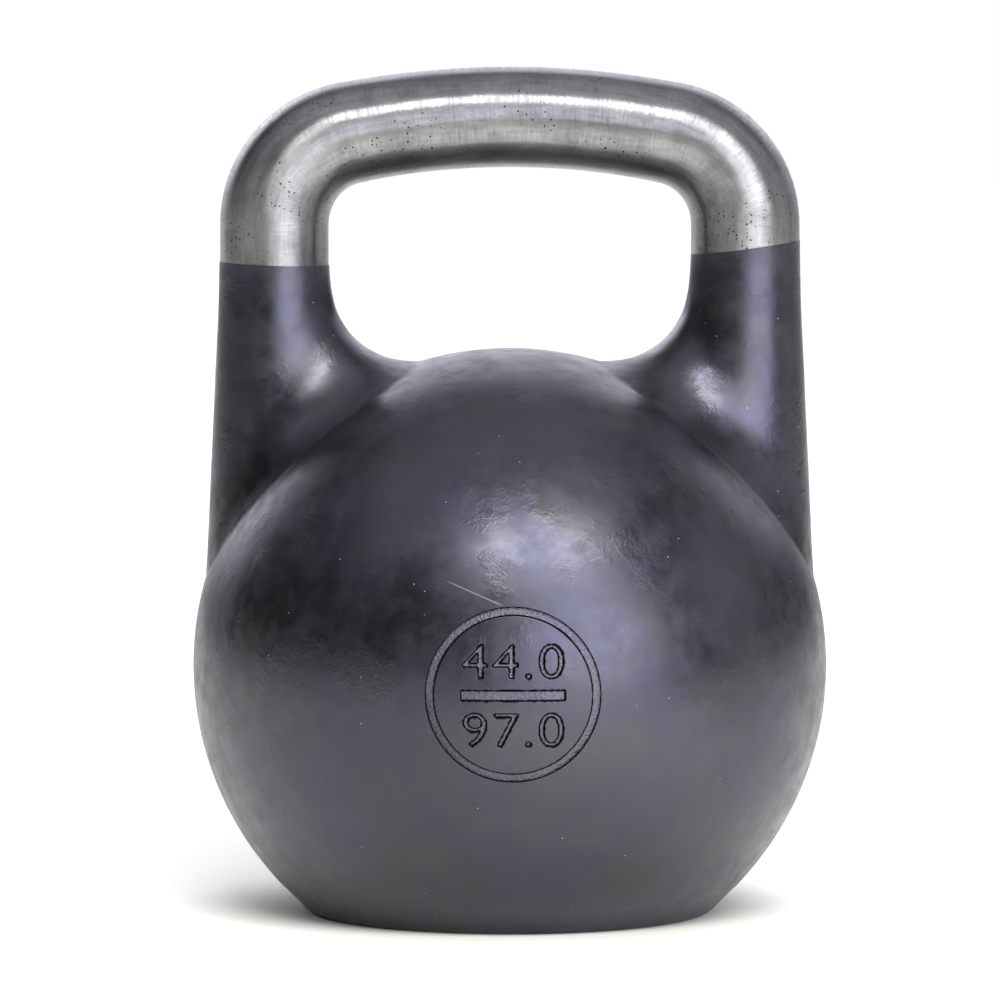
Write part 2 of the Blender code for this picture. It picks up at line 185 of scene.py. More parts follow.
def makeWeightMark():
    centre = (0, 0, ballCentre.z)
    middle = (mark["centreX"], mark["frontY"], ballCentre.z)
    front = (math.pi / 2, 0, 0)
    bpy.ops.mesh.primitive_uv_sphere_add(
        segments=256, ring_count=128, radius=ball["radius"], location=centre)
    face = nameNew("weightMark")
    # the ring groove is what the raised face leaves free at its rim
    bpy.ops.mesh.primitive_cylinder_add(
        vertices=192, radius=mark["radius"] - mark["ringWidth"], depth=mark["faceLength"],
        location=middle, rotation=front)
    carve(face, nameNew("faceRim"), "INTERSECT")
    bpy.ops.mesh.primitive_cube_add(
        size=1, location=(mark["centreX"], mark["cutterY"], ballCentre.z),
        scale=(mark["barLength"], mark["cutterDepth"], mark["barHeight"]))
    carve(face, nameNew("barCut"))
    for text, base in mark["lines"]:
        bpy.ops.object.text_add(location=(0, mark["textY"], ballCentre.z + base), rotation=front)
        line = bpy.context.object
        line.data.body = text
        line.data.align_x = "CENTER"
        line.data.size = mark["numeralHeight"] / mark["fontHeight"]
        line.data.space_character = mark["numeralSpacing"]
        line.data.extrude = mark["textDepth"]
        line.data.resolution_u = 8
        bpy.ops.object.convert(target="MESH")
        cut = nameNew("numeralCut")
        cut.scale.x = mark["numeralStretch"]
        cut.location.x = mark["centreX"]
        bpy.ops.object.transform_apply(location=True, rotation=False, scale=True)
        bpy.ops.object.mode_set(mode="EDIT")
        bpy.ops.mesh.select_all(action="SELECT")
        bpy.ops.mesh.remove_doubles(threshold=0.000001)
        bpy.ops.mesh.normals_make_consistent(inside=False)
        bpy.ops.object.mode_set(mode="OBJECT")
        carve(face, cut, solver="EXACT")
    bpy.ops.mesh.primitive_uv_sphere_add(
        segments=256, ring_count=128, radius=ball["radius"] - mark["depth"], location=centre)
    floor = nameNew("markFloor")
    bpy.ops.mesh.primitive_cylinder_add(
        vertices=192, radius=mark["radius"] - mark["fit"], depth=mark["floorLength"],
        location=middle, rotation=front)
    carve(floor, nameNew("floorRim"), "INTERSECT")
    carve(face, floor, "UNION", "EXACT")
    applyModifier(face, "REMESH", mode="VOXEL", voxel_size=mark["voxel"], adaptivity=0)
    removeFaces(face, lambda f: f.center.y > mark["backY"])
    bpy.ops.object.mode_set(mode="OBJECT")
    applyModifier(face, "SMOOTH", factor=0.5, iterations=mark["smoothing"])
    for vert in face.data.vertices:
        arm = vert.co - ballCentre
        if arm.length > ball["radius"] - mark["snapBand"]:
            vert.co = ballCentre + arm * (ball["radius"] / arm.length)
    face.data.materials.clear()
    selectOnly(face)
    bpy.ops.object.shade_smooth()
    print("stage: weight mark", len(face.data.polygons), "faces")
    return face


grip = {
    "postX": 0.1557 / 2,
    "postRadius": 18.0 * millimetre,
    "middleRadius": 16.6 * millimetre,
    "cornerRadius": 31.0 * millimetre,
    "archRadius": 270.0 * millimetre,
    "top": 0.280,
    "footZ": 0.2050,    # the posts start below the paint lines and are cut there
    "sides": 96,
    "postSteps": 24,
    "cornerSteps": 44,
    "archSteps": 100,
    "paintLines": {-1: (0.2150, -0.03), 1: (0.2205, 0.13)},    # side: height at the post's middle, slope
    "wrapRadius": 17.5 * millimetre,    # turns the angle round the bar into a length
    "creaseAngle": 50,
}


def paintPlane(side):    # a point on a paint line and the upward normal of its plane
    height, slope = grip["paintLines"][side]
    return (side * grip["postX"], 0, height), (-slope, 0, 1)


def makeGrip():
    postX, corner, arch = grip["postX"], grip["cornerRadius"], grip["archRadius"]
    archZ = grip["top"] - grip["middleRadius"] - arch
    cornerZ = archZ + math.sqrt((arch - corner) ** 2 - (postX - corner) ** 2)
    archHalf = math.asin((postX - corner) / (arch - corner))
    turn = math.pi / 2 - archHalf
    postLength = cornerZ - grip["footZ"]
    cornerLength = corner * turn
    barLength = 2 * (postLength + cornerLength) + 2 * arch * archHalf
    bpy.ops.mesh.primitive_circle_add(
        vertices=grip["sides"], radius=grip["postRadius"], location=(-postX, 0, grip["footZ"]))
    bar = nameNew("gripBar")
    bpy.ops.object.mode_set(mode="EDIT")
    bpy.ops.mesh.select_mode(type="EDGE")
    bpy.ops.mesh.select_all(action="SELECT")
    step = postLength / grip["postSteps"]
    for i in range(grip["postSteps"]):
        bpy.ops.mesh.extrude_region_move(TRANSFORM_OT_translate={"value": (0, 0, step)})
    for steps, angle, centre in (
        (grip["cornerSteps"], turn, (-postX + corner, 0, cornerZ)),
        (grip["archSteps"], 2 * archHalf, (0, 0, archZ)),
        (grip["cornerSteps"], turn, (postX - corner, 0, cornerZ)),
    ):
        bpy.ops.mesh.spin(steps=steps, angle=-angle, center=centre, axis=(0, 1, 0))
    for i in range(grip["postSteps"]):
        bpy.ops.mesh.extrude_region_move(TRANSFORM_OT_translate={"value": (0, 0, -step)})
    bpy.ops.mesh.select_all(action="SELECT")
    bpy.ops.mesh.remove_doubles(threshold=0.000001)
    bpy.ops.mesh.normals_make_consistent(inside=False)
    bpy.ops.object.mode_set(mode="OBJECT")

    def along(point):    # distance along the bar's centre line, the line's point and its outward side
        side = -1 if point.x < 0 else 1
        x = abs(point.x)
        if point.z < cornerZ and x > postX - corner:
            run, out, middle = point.z - grip["footZ"], (1, 0), (postX, point.z)
        else:
            angle = math.atan2(x, point.z - archZ)
            if angle < archHalf:
                run = postLength + cornerLength + arch * (archHalf - angle)
                out = (math.sin(angle), math.cos(angle))
                middle = (arch * out[0], archZ + arch * out[1])
            else:
                angle = math.atan2(x - postX + corner, point.z - cornerZ)
                run = postLength + corner * (math.pi / 2 - angle)
                out = (math.sin(angle), math.cos(angle))
                middle = (postX - corner + corner * out[0], cornerZ + corner * out[1])
        if side > 0:
            run = barLength - run
        return run, Vector((side * middle[0], 0, middle[1])), Vector((side * out[0], 0, out[1]))

    # the bar is thinnest in the middle and keeps its thickness until close to the corners
    for vert in bar.data.vertices:
        run, middle, out = along(vert.co)
        share = min(1.0, abs(middle.x) / postX)
        radius = grip["middleRadius"] + (grip["postRadius"] - grip["middleRadius"]) * share**4
        vert.co = middle + (vert.co - middle).normalized() * radius
    bpy.ops.object.mode_set(mode="EDIT")
    for side in (-1, 1):
        place, normal = paintPlane(side)
        bpy.ops.mesh.select_all(action="SELECT")
        bpy.ops.mesh.bisect(plane_co=place, plane_no=normal, clear_inner=True, use_fill=True)
    bpy.ops.object.mode_set(mode="OBJECT")
    # the map runs along the bar in U and round it in V, both in metres
    wrap = bar.data.uv_layers.new(name="round")
    for face in bar.data.polygons:
        found = []
        for loop in face.loop_indices:
            point = bar.data.vertices[bar.data.loops[loop].vertex_index].co
            run, middle, out = along(point)
            arm = (point - middle).normalized()
            found.append((loop, run, math.atan2(-arm.y, arm.dot(out))))
        angles = [angle for loop, run, angle in found]
        overSeam = max(angles) - min(angles) > math.pi
        for loop, run, angle in found:
            if overSeam and angle < 0:
                angle += math.tau
            wrap.data[loop].uv = (run, angle * grip["wrapRadius"])
    bar.data.materials.clear()
    selectOnly(bar)
    bpy.ops.object.shade_smooth_by_angle(angle=math.radians(grip["creaseAngle"]))
    print("stage: grip", len(bar.data.polygons), "faces")
    return bar


bell = {
    # faces of the frame's casting that the closed shell leaves out: core's cavity and threaded bore
    "cavityZ": 0.082,
    "cavityReach": 0.064,
    "cavitySide": 0.058,
    "cavityFloor": 0.003,
    "mouthSide": 0.0305,
    "mouthTop": 0.03,
    # each horn runs on past its paint line, so that smoothing leaves the cut crisp
    "hornZ": 0.2,
    "hornSpare": 9.0 * millimetre,
    "cutZ": 0.19,
    "voxel": 1.5 * millimetre,
    "smoothing": 14,
    "snapBand": 0.5 * millimetre,
    "snapZ": 0.009,    # the foot's rounded edge lies below it
    "markY": -0.09,
    "markReach": 0.035,
    "boreRadius": 26.3 * millimetre,
    "boreTop": 19.8 * millimetre,
    "lockX": 26.0 * millimetre,
    "lockRadius": 3.0 * millimetre,
    "lockTop": 12.8 * millimetre,
    "creaseAngle": 38,
}


def makeBellShell():
    shell = copyOf(nodes["bell_casting"], "bellShell")
    selectOnly(shell)
    bpy.ops.object.mode_set(mode="EDIT")
    bpy.ops.mesh.select_all(action="SELECT")
    bpy.ops.mesh.remove_doubles(threshold=0.00001)
    bpy.ops.object.mode_set(mode="OBJECT")
    cavity = Vector((0, 0, bell["cavityZ"]))
    removeFaces(shell, lambda f: (
        math.hypot(f.center.x, f.center.y) < bell["cavitySide"]
        and f.center.z > bell["cavityFloor"]
        and (f.center - cavity).length < bell["cavityReach"]))
    removeFaces(shell, lambda f: (
        math.hypot(f.center.x, f.center.y) < bell["mouthSide"] and f.center.z < bell["mouthTop"]))
    bpy.ops.mesh.select_mode(type="EDGE")
    bpy.ops.mesh.select_all(action="DESELECT")
    bpy.ops.mesh.select_non_manifold()
    bpy.ops.mesh.edge_face_add()
    pickFaces(shell, lambda f: f.center.z > bell["hornZ"] and f.normal.z > 0.9)
    bpy.ops.mesh.extrude_region_move(TRANSFORM_OT_translate={"value": (0, 0, bell["hornSpare"])})
    bpy.ops.object.mode_set(mode="OBJECT")
    applyModifier(shell, "REMESH", mode="VOXEL", voxel_size=bell["voxel"], adaptivity=0)
    applyModifier(shell, "SMOOTH", factor=0.5, iterations=bell["smoothing"])
    # what smoothing left near the ball goes back onto it, all of it round the mark
    for vert in shell.data.vertices:
        arm = vert.co - ballCentre
        offset = ball["radius"] - arm.length
        if vert.co.y < bell["markY"] and math.hypot(vert.co.x, arm.z) < bell["markReach"]:
            share = 1.0
        elif vert.co.z > bell["snapZ"] and abs(offset) < bell["snapBand"]:
            share = 1 - (abs(offset) / bell["snapBand"]) ** 2
        else:
            continue
        vert.co = ballCentre + arm * (1 + share * offset / arm.length)
    for side in (-1, 1):
        place, normal = paintPlane(side)
        pickFaces(shell, lambda f: f.center.z > bell["cutZ"] and f.center.x * side > 0)
        bpy.ops.mesh.bisect(plane_co=place, plane_no=normal, clear_outer=True, use_fill=True)
        bpy.ops.object.mode_set(mode="OBJECT")
    bpy.ops.mesh.primitive_cylinder_add(
        vertices=192, radius=mark["radius"], depth=mark["seatLength"],
        location=(mark["centreX"], mark["frontY"], ballCentre.z), rotation=(math.pi / 2, 0, 0))
    carve(shell, nameNew("markSeat"))
    bpy.ops.mesh.primitive_cylinder_add(
        vertices=96, radius=bell["boreRadius"], depth=2 * bell["boreTop"], location=(0, 0, 0))
    carve(shell, nameNew("plugBore"))
    for side in (-1, 1):
        bpy.ops.mesh.primitive_cylinder_add(
            vertices=32, radius=bell["lockRadius"], depth=2 * bell["lockTop"],
            location=(side * bell["lockX"], 0, 0))
        carve(shell, nameNew("lockSeat"))
    shell.data.materials.clear()
    selectOnly(shell)
    bpy.ops.object.shade_smooth_by_angle(angle=math.radians(bell["creaseAngle"]))
    print("stage: bell shell", len(shell.data.polygons), "faces")
    return shell


castPaint = {
    "dark": "#0e0d0d",
    "light": "#171619",
    "dust": "#8d8c94",
    "warmSheen": "#e4e1ec",
    "violetSheen": "#dadafa",
    "reflectance": 0.86,
    # each pattern's size in millimetres, its detail and its roughness
    "patterns": {
        "shade": (26, 4.0, 0.6),
        "sheen": (24, 4.0, 0.6),
        "patch": (17, 4.0, 0.6),
        "rubbed": (9, 5.0, 0.65),
        "lumps": (16, 3.0, 0.5),
        "peel": (2.6, 3.0, 0.6),
        "crinkle": (0.9, 3.0, 0.65),
    },
    # where a pattern starts and ends its change, and what it changes from and to
    "ramps": {
        "shade": (0.35, 0.68, 0.0, 1.0),
        "sheen": (0.36, 0.6, 0.0, 1.0),
        "patch": (0.52, 0.66, 0.0, 1.0),
        "rubbed": (0.30, 0.72, 0.27, 0.42),
    },
    "crinkleEverywhere": 0.06,    # how crinkled the paint is between the patches
    "speckSpacing": 3.4,    # millimetres
    "fleckSize": 0.06,
    "fleckChance": 0.9,
    "pinholeSize": 0.075,
    "pinholeChance": 0.07,
    # where a scratch lies seen from the front, its turn and its length: millimetres and degrees
    "scratches": ((-11.1, 114.1, 22.8, 21.8), (-4.1, 122.7, 40.0, 10.0), (27.0, 124.5, -24.0, 5.0)),
    "scratchWidths": (0.06, 0.22),    # millimetres, its core and its faded edge
    "scratchFront": -0.05,    # scratches are only in front of this
    "scratchPaleness": 0.45,
    "scratchDepth": 0.4,
}


def makeCastPaint(name, settings):
    # Satin enamel over a sand casting: broad soft highlights that break up over low lumps, crinkled
    # patches that glint, dust flecks, pinholes, and thin scratches that catch the light.
    made, tree = newMaterial(name)
    spot = addNode(tree, "ShaderNodeTexCoord").outputs["Object"]
    noise = {}
    for use, (size, detail, rough) in settings["patterns"].items():
        noise[use] = addNode(tree, "ShaderNodeTexNoise", inputs={
            "Vector": spot, "Scale": scaleOf(size), "Detail": detail, "Roughness": rough,
        }).outputs["Fac"]
    ramp = {}
    for use, (low, high, start, end) in settings["ramps"].items():
        ramp[use] = addNode(tree, "ShaderNodeMapRange", smooth, {
            "Value": noise[use], "From Min": low, "From Max": high, "To Min": start, "To Max": end,
        }).outputs["Result"]
    colour = addNode(tree, "ShaderNodeMix", blend, {
        "Factor": ramp["shade"], "A": paintChip(settings["dark"]), "B": paintChip(settings["light"]),
    }).outputs["Result"]
    sheen = addNode(tree, "ShaderNodeMix", blend, {
        "Factor": ramp["sheen"], "A": paintChip(settings["warmSheen"]),
        "B": paintChip(settings["violetSheen"])}).outputs["Result"]

    # a few cells of a grid hold a dust fleck, fewer a pinhole
    cells = addNode(tree, "ShaderNodeTexVoronoi", inputs={
        "Vector": spot, "Scale": scaleOf(settings["speckSpacing"])})
    chance = addNode(tree, "ShaderNodeSeparateColor", inputs={"Color": cells.outputs["Color"]})
    speck = {}
    for use, size, draw, test, limit in (
        ("fleck", settings["fleckSize"], "Red", "GREATER_THAN", settings["fleckChance"]),
        ("pinhole", settings["pinholeSize"], "Green", "LESS_THAN", settings["pinholeChance"]),
    ):
        near = addNode(tree, "ShaderNodeMath", {"operation": "LESS_THAN"}, {
            0: cells.outputs["Distance"], 1: size}).outputs[0]
        drawn = addNode(tree, "ShaderNodeMath", {"operation": test}, {
            0: chance.outputs[draw], 1: limit}).outputs[0]
        speck[use] = addNode(tree, "ShaderNodeMath", {"operation": "MULTIPLY"}, {
            0: near, 1: drawn}).outputs[0]

    # each scratch is a thin line on the front, faded towards its ends
    core, edge = settings["scratchWidths"]
    scratched = 0.0
    for x, z, turn, length in settings["scratches"]:
        local = addNode(tree, "ShaderNodeMapping", {"vector_type": "TEXTURE"}, {
            "Vector": spot, "Location": (x * millimetre, 0, z * millimetre),
            "Rotation": (0, math.radians(turn), 0)}).outputs["Vector"]
        axes = addNode(tree, "ShaderNodeSeparateXYZ", inputs={"Vector": local})
        line = addNode(tree, "ShaderNodeMath", {"operation": "LESS_THAN"}, {
            0: axes.outputs["Y"], 1: settings["scratchFront"]}).outputs[0]
        for axis, start, end in (("X", 0.3 * length, 0.5 * length), ("Z", core, edge)):
            away = addNode(tree, "ShaderNodeMath", {"operation": "ABSOLUTE"}, {
                0: axes.outputs[axis]}).outputs[0]
            fade = addNode(tree, "ShaderNodeMapRange", smooth, {
                "Value": away, "From Min": start * millimetre, "From Max": end * millimetre,
                "To Min": 1.0, "To Max": 0.0}).outputs["Result"]
            line = addNode(tree, "ShaderNodeMath", {"operation": "MULTIPLY"}, {
                0: line, 1: fade}).outputs[0]
        scratched = addNode(tree, "ShaderNodeMath", {"operation": "MAXIMUM"}, {
            0: line, 1: scratched}).outputs[0]
    paled = addNode(tree, "ShaderNodeMath", {"operation": "MULTIPLY"}, {
        0: scratched, 1: settings["scratchPaleness"]}).outputs[0]
    dusty = addNode(tree, "ShaderNodeMath", {"operation": "MAXIMUM"}, {
        0: speck["fleck"], 1: paled}).outputs[0]
    marked = addNode(tree, "ShaderNodeMix", blend, {
        "Factor": dusty, "A": colour, "B": paintChip(settings["dust"])}).outputs["Result"]
    sunk = addNode(tree, "ShaderNodeMath", {"operation": "MULTIPLY"}, {
        0: scratched, 1: settings["scratchDepth"]}).outputs[0]
    damaged = addNode(tree, "ShaderNodeMath", {"operation": "MAXIMUM"}, {
        0: speck["pinhole"], 1: sunk}).outputs[0]
    spread = addNode(tree, "ShaderNodeMath", {"operation": "ADD"}, {
        0: ramp["patch"], 1: settings["crinkleEverywhere"]}).outputs[0]
    crinkled = addNode(tree, "ShaderNodeMath", {"operation": "MULTIPLY"}, {
        0: noise["crinkle"], 1: spread}).outputs[0]

    lumps = addNode(tree, "ShaderNodeBump", inputs={
        "Height": noise["lumps"], "Strength": 0.3, "Distance": 0.26 * millimetre})
    peel = addNode(tree, "ShaderNodeBump", inputs={
        "Height": noise["peel"], "Strength": 0.35, "Distance": 0.04 * millimetre,
        "Normal": lumps.outputs["Normal"]})
    crinkle = addNode(tree, "ShaderNodeBump", inputs={
        "Height": crinkled, "Strength": 0.8, "Distance": 0.14 * millimetre,
        "Normal": peel.outputs["Normal"]})
    damage = addNode(tree, "ShaderNodeBump", {"invert": True}, {
        "Height": damaged, "Strength": 0.6, "Distance": 0.2 * millimetre,
        "Normal": crinkle.outputs["Normal"]})
    surface = addNode(tree, "ShaderNodeBsdfPrincipled", inputs={
        "Base Color": marked, "Roughness": ramp["rubbed"], "IOR": 1.5,
        "Specular IOR Level": settings["reflectance"], "Specular Tint": sheen,
        "Normal": damage.outputs["Normal"]})
    addNode(tree, "ShaderNodeOutputMaterial", inputs={"Surface": surface.outputs["BSDF"]})
    return made


# the mark's groove floors are paler and crinkled all over; their walls get painted shade, nearly black and
# barely reflecting, in place of the shadow inside the grooves
groovePaint = dict(
    castPaint, dark="#201f21", light="#38373b", reflectance=1.0, crinkleEverywhere=4.0,
    patterns=dict(castPaint["patterns"], crinkle=(1.0, 3.0, 0.65)),
    ramps=dict(castPaint["ramps"], rubbed=(0.30, 0.72, 0.16, 0.28)))
grooveWallShadePaint = dict(
    castPaint, dark="#080708", light="#0b0a0b", reflectance=0.05,
    ramps=dict(castPaint["ramps"], rubbed=(0.30, 0.72, 0.5, 0.6)))

groundSteel = {
    "dark": "#525253",
    "light": "#8b8b8a",
    "pore": "#1d1c1b",
    "anisotropy": 1.0,
    "haze": 0.18,
    "hazeRough": 0.6,
    # sizes along and round the bar in millimetres, and detail; the real lines are finer than can show
    "brushings": {"lines": (0.7, 6.0, 3.0), "streaks": (11, 1.5, 5.0)},
    # each pattern's size in millimetres, its detail and its roughness
    "patterns": {
        "cloud": (15, 5.0, 0.6),
        "pitted": (22, 2.0, 0.5),
        "smear": (12, 4.0, 0.6),
        "waves": (17, 3.0, 0.5),
    },
    # where a pattern starts and ends its change, and what it changes from and to
    "ramps": {
        "lines": (0.3, 0.7, 0.28, 0.42),
        "streaks": (0.3, 0.62, 0.72, 1.0),
        "cloud": (0.32, 0.62, 0.6, 1.0),
        "pitted": (0.45, 0.62, 0.0, 0.21),
        "smear": (0.35, 0.7, 0.0, 0.07),
    },
    "pitSpacing": 1.5,    # millimetres
    "pitChance": 0.55,
}


def makeGroundSteel(name, settings):
    # Bare cast steel, belt ground round the bar: the fine lines cross the bar, so a highlight runs
    # along it with a frayed edge in a soft haze. Casting pores show as dark pits.
    made, tree = newMaterial(name)
    wrap = addNode(tree, "ShaderNodeUVMap", {"uv_map": "round"}).outputs["UV"]
    spot = addNode(tree, "ShaderNodeTexCoord").outputs["Object"]
    noise = {}
    for use, (alongBar, roundBar, detail) in settings["brushings"].items():
        stretched = addNode(tree, "ShaderNodeMapping", inputs={
            "Vector": wrap, "Scale": (scaleOf(alongBar), scaleOf(roundBar), 1)}).outputs["Vector"]
        noise[use] = addNode(tree, "ShaderNodeTexNoise", {"noise_dimensions": "2D"}, {
            "Vector": stretched, "Scale": 1.0, "Detail": detail, "Roughness": 0.6}).outputs["Fac"]
    for use, (size, detail, rough) in settings["patterns"].items():
        noise[use] = addNode(tree, "ShaderNodeTexNoise", inputs={
            "Vector": spot, "Scale": scaleOf(size), "Detail": detail, "Roughness": rough,
        }).outputs["Fac"]
    ramp = {}
    for use, (low, high, start, end) in settings["ramps"].items():
        ramp[use] = addNode(tree, "ShaderNodeMapRange", smooth, {
            "Value": noise[use], "From Min": low, "From Max": high, "To Min": start, "To Max": end,
        }).outputs["Result"]

    # pores come in clusters, where the slow pattern lets them grow
    cells = addNode(tree, "ShaderNodeTexVoronoi", inputs={
        "Vector": spot, "Scale": scaleOf(settings["pitSpacing"])})
    chance = addNode(tree, "ShaderNodeSeparateColor", inputs={"Color": cells.outputs["Color"]})
    near = addNode(tree, "ShaderNodeMath", {"operation": "LESS_THAN"}, {
        0: cells.outputs["Distance"], 1: ramp["pitted"]}).outputs[0]
    drawn = addNode(tree, "ShaderNodeMath", {"operation": "GREATER_THAN"}, {
        0: chance.outputs["Red"], 1: settings["pitChance"]}).outputs[0]
    pore = addNode(tree, "ShaderNodeMath", {"operation": "MULTIPLY"}, {0: near, 1: drawn}).outputs[0]

    shade = addNode(tree, "ShaderNodeMath", {"operation": "MULTIPLY"}, {
        0: ramp["streaks"], 1: ramp["cloud"]}).outputs[0]
    ground = addNode(tree, "ShaderNodeMix", blend, {
        "Factor": shade, "A": paintChip(settings["dark"]), "B": paintChip(settings["light"]),
    }).outputs["Result"]
    colour = addNode(tree, "ShaderNodeMix", blend, {
        "Factor": pore, "A": ground, "B": paintChip(settings["pore"])}).outputs["Result"]
    rough = addNode(tree, "ShaderNodeMath", {"operation": "ADD"}, {
        0: ramp["lines"], 1: ramp["smear"]}).outputs[0]
    waves = addNode(tree, "ShaderNodeBump", inputs={
        "Height": noise["waves"], "Strength": 0.5, "Distance": 0.3 * millimetre})
    lines = addNode(tree, "ShaderNodeBump", inputs={
        "Height": noise["lines"], "Strength": 0.6, "Distance": 0.1 * millimetre,
        "Normal": waves.outputs["Normal"]})
    holes = addNode(tree, "ShaderNodeBump", {"invert": True}, {
        "Height": pore, "Strength": 0.5, "Distance": 0.3 * millimetre,
        "Normal": lines.outputs["Normal"]})
    tangent = addNode(tree, "ShaderNodeTangent", {"direction_type": "UV_MAP", "uv_map": "round"})
    polish = addNode(tree, "ShaderNodeBsdfPrincipled", inputs={
        "Base Color": colour, "Metallic": 1.0, "Roughness": rough,
        "Anisotropic": settings["anisotropy"], "Tangent": tangent.outputs["Tangent"],
        "Normal": holes.outputs["Normal"]})
    haze = addNode(tree, "ShaderNodeBsdfPrincipled", inputs={
        "Base Color": colour, "Metallic": 1.0, "Roughness": settings["hazeRough"],
        "Normal": holes.outputs["Normal"]})
    surface = addNode(tree, "ShaderNodeMixShader", inputs={
        0: settings["haze"], 1: polish.outputs["BSDF"], 2: haze.outputs["BSDF"]})
    addNode(tree, "ShaderNodeOutputMaterial", inputs={"Surface": surface.outputs["Shader"]})
    return made


# The small and hidden pieces: two shades, grain size, roughness, metallic and depth of the grain,
# sizes in millimetres.
smallFinishes = {
    "zincPlatedSteel": ("#8f9297", "#b4b7bb", 1.2, 0.32, 1.0, 0.03),    # bright, faintly clouded
    "blackRubber": ("#0f0f10", "#1c1c1d", 0.8, 0.7, 0.0, 0.04),    # dull and nearly even
    "pouredLead": ("#4c4f54", "#6d7075", 6.0, 0.55, 1.0, 0.3),    # grey skin with slow ripples
    "steelShotInResin": ("#1c1c1e", "#4d4d4f", 2.0, 0.45, 0.2, 0.9),    # dark and coarsely grained
    "pressedFelt": ("#5c564c", "#7d776b", 0.6, 0.95, 0.0, 0.2),    # matt brown-grey with a fine nap
}
smallPieces = {
    "base_plug": "zincPlatedSteel",
    "lock_screw_left": "zincPlatedSteel",
    "lock_screw_right": "zincPlatedSteel",
    "plug_seal": "blackRubber",
    "ballast_core": "pouredLead",
    "calibration_shot": "steelShotInResin",
    "packing_pad": "pressedFelt",
}


def makeGrainedFinish(name, low, high, size, roughness, metallic, depth):
    made, tree = newMaterial(name)
    spot = addNode(tree, "ShaderNodeTexCoord").outputs["Object"]
    grain = addNode(tree, "ShaderNodeTexNoise", inputs={
        "Vector": spot, "Scale": scaleOf(size), "Detail": 4.0}).outputs["Fac"]
    colour = addNode(tree, "ShaderNodeMix", blend, {
        "Factor": grain, "A": paintChip(low), "B": paintChip(high)}).outputs["Result"]
    bump = addNode(tree, "ShaderNodeBump", inputs={
        "Height": grain, "Strength": 0.5, "Distance": depth * millimetre})
    surface = addNode(tree, "ShaderNodeBsdfPrincipled", inputs={
        "Base Color": colour, "Metallic": metallic, "Roughness": roughness,
        "Normal": bump.outputs["Normal"]})
    addNode(tree, "ShaderNodeOutputMaterial", inputs={"Surface": surface.outputs["BSDF"]})
    return made


shell = makeBellShell()
badge = makeWeightMark()
bar = makeGrip()

paint = makeCastPaint("satinEnamelOnCasting", castPaint)
shell.data.materials.append(paint)
badge.data.materials.append(paint)
badge.data.materials.append(makeCastPaint("satinEnamelInGrooves", groovePaint))
badge.data.materials.append(makeCastPaint("paintedShadeOnGrooveWalls", grooveWallShadePaint))
# painted shade: groove walls get the nearly black, barely reflecting paint; deeper faces get the paler
# groove-floor paint
for face in badge.data.polygons:
    arm = face.center - ballCentre
    if face.normal.dot(arm.normalized()) < mark["wallTilt"]:
        face.material_index = 2
    elif arm.length < ball["radius"] - mark["floorBelow"]:
        face.material_index = 1
bar.data.materials.append(makeGroundSteel("beltGroundSteel", groundSteel))
for piece, node, slot in (
    (shell, "bell_casting", "charcoal_paint"), (badge, "bell_casting", "charcoal_paint"),
    (bar, "handle", "bare_steel"),
):
    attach(piece, rootBody)
    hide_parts(node)
finishes = {name: makeGrainedFinish(name, *values) for name, values in smallFinishes.items()}
for name, finish in smallPieces.items():
    nodes[name].data.materials.clear()
    nodes[name].data.materials.append(finishes[finish])
print("stage: finishes")

studio = {
    "floor": "#edede2",
    "floorGlow": 0.32,
    # footShade: a painted contact shadow round the foot, where the floor's glow fades out
    "footShade": (0.075, 0.125),    # distances from the middle where the floor starts and ends to glow
    # the pool: a painted pool of light on the floor, front right, that the ball reflects
    "poolAt": (0.22, -0.40, 0),
    "poolReach": (0.14, 0.42),
    "poolGlow": 1.45,
    "air": "#f0f0fd",
    "keyFrom": (13, 45),
    "keySize": (1.50, 0.56),
    "keyDistance": 2.0,
    "keyPower": 42.0,
    "cameraHeight": 0.3496,
    "cameraDistance": 2.7612,
    "cameraTilt": -4.4136,
    "cameraSide": -0.00325,
    "lens": 300.8,
    # each soft light: azimuth and elevation, the angles where it starts and ends its fading, strength;
    # azimuth 0 is in front, +90 on the right
    "lights": {
        "mainBox": (30, 9, 7, 35, 7.6),
        "ceiling": (0, 78, 20, 50, 0.95),
        "backSweep": (180, 22, 15, 38, 1.8),
        "backRight": (140, 31, 8, 24, 1.6),
        "backLeft": (-146, 23, 8, 22, 2.6),
        "rightStrip": (92, 20, 6, 26, 1.0),
        "leftStrip": (-88, 50, 8, 24, 0.35),
        "leftLamp": (-62, 41, 3, 9, 1.8),
    },
}


def bearing(azimuth, elevation):
    a, e = math.radians(azimuth), math.radians(elevation)
    return Vector((math.sin(a) * math.cos(e), -math.cos(a) * math.cos(e), math.sin(e)))
